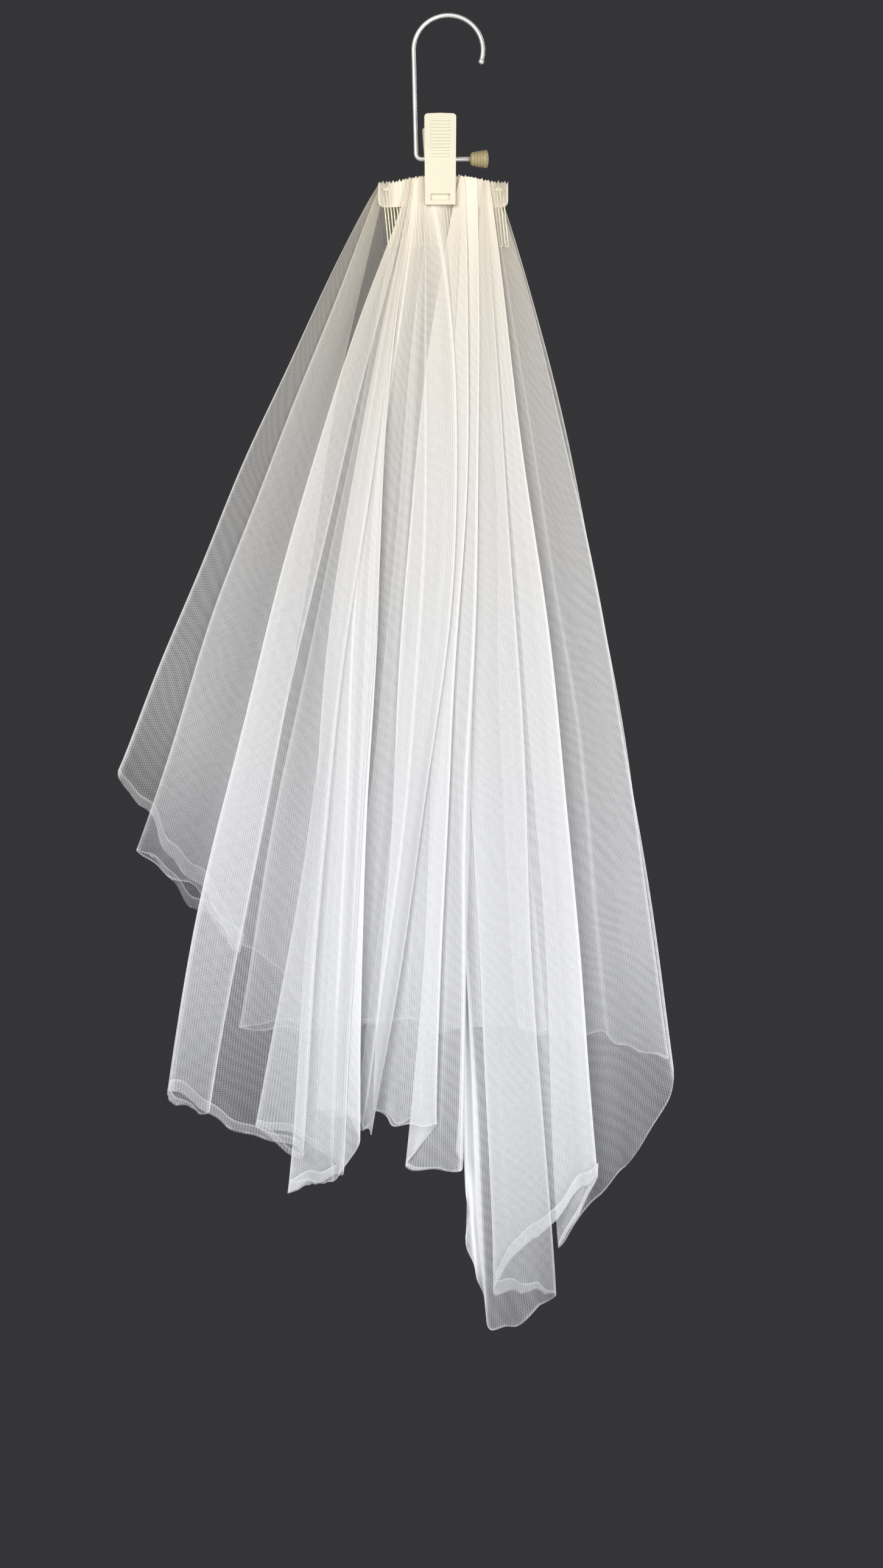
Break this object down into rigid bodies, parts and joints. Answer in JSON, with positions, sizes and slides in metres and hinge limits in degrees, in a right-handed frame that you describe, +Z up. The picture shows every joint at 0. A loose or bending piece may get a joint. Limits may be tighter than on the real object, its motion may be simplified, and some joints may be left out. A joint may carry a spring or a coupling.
{
  "type": "two-tier bridal veil on a clip hanger",
  "caption": "Shoulder-length tiered tulle bridal veil, gathered on a wire comb and held by a small clip hanger",
  "frame": {"origin": "inside top of the hook, where the hanger rests on its rail; everything else hangs below it", "axes": "+Z up along the hanging veil, -Y out of the veil's face, +X to the right as seen from the front"},
  "size_m": [0.3701, 0.0794, 0.8543],
  "materials": {
    "polished_steel": "polished steel wire",
    "amber_rubber": "translucent amber rubber, dull",
    "cream_plastic": "moulded cream plastic, satin",
    "gilt_wire": "gilt wire, bright",
    "ivory_tulle": "gathered ivory tulle, many layers",
    "white_tulle": "sheer white hexagonal net with raw cut edges"
  },
  "bodies": {
    "root": {"hanger_hook": "polished_steel", "bar_tip": "amber_rubber", "clip_front_jaw": "cream_plastic", "clip_back_jaw": "cream_plastic", "comb": "gilt_wire", "header_band": "ivory_tulle", "front_tier": "white_tulle", "back_tier": "white_tulle"}
  },
  "joints": []
}
